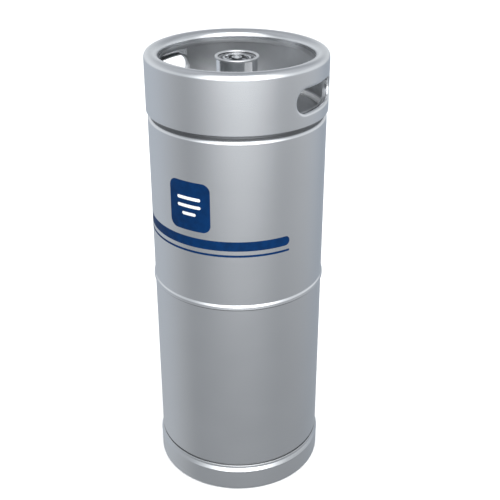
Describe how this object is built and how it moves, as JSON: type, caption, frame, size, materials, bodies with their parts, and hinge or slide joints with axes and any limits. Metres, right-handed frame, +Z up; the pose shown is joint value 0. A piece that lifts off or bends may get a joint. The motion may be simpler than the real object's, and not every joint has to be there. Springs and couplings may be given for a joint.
{
  "type": "beer keg",
  "caption": "Slim stainless steel beer keg with a rolled top chime, handholes, a raised girth joint, a foot ring and a sprung drop-in spear valve in a central neck.",
  "frame": {"origin": "centre of the foot ring's flat base, on the surface that the keg stands on", "axes": "+Z up along the keg's axis, towards the valve; +X and -X out through the two handholes"},
  "size_m": [0.2366, 0.2366, 0.6124],
  "materials": {
    "shell_steel": "satin drawn stainless steel",
    "chime_steel": "satin rolled stainless steel",
    "valve_steel": "turned and polished stainless steel",
    "spring_steel": "drawn spring wire and snap ring",
    "black_rubber": "moulded black nitrile rubber",
    "white_acetal": "moulded white acetal"
  },
  "bodies": {
    "keg": {"upper_shell": "shell_steel", "lower_shell": "shell_steel", "top_chime": "chime_steel", "foot_ring": "chime_steel", "valve_neck": "valve_steel", "neck_seal": "black_rubber", "retaining_ring": "spring_steel", "valve_body": "valve_steel", "valve_cage": "white_acetal", "guide_bush": "white_acetal", "spring_washer": "valve_steel", "gas_spring": "spring_steel"},
    "stem": {"stem_head": "valve_steel", "seal_plate": "valve_steel", "gas_seal": "black_rubber", "down_tube": "valve_steel", "ball_spring_seat": "valve_steel", "ball_spring": "spring_steel"},
    "ball": {"valve_ball": "valve_steel"}
  },
  "joints": [
    {"name": "stem_slide", "type": "slide", "parent": "keg", "child": "stem", "axis": [0, 0, -1], "range_m": [0, 0.006], "stiffness_N_per_m": 2000, "springref_m": -0.012, "deforming": ["gas_spring"]},
    {"name": "ball_slide", "type": "slide", "parent": "stem", "child": "ball", "axis": [0, 0, -1], "range_m": [0, 0.004], "stiffness_N_per_m": 150, "springref_m": -0.008, "deforming": ["ball_spring"]}
  ]
}
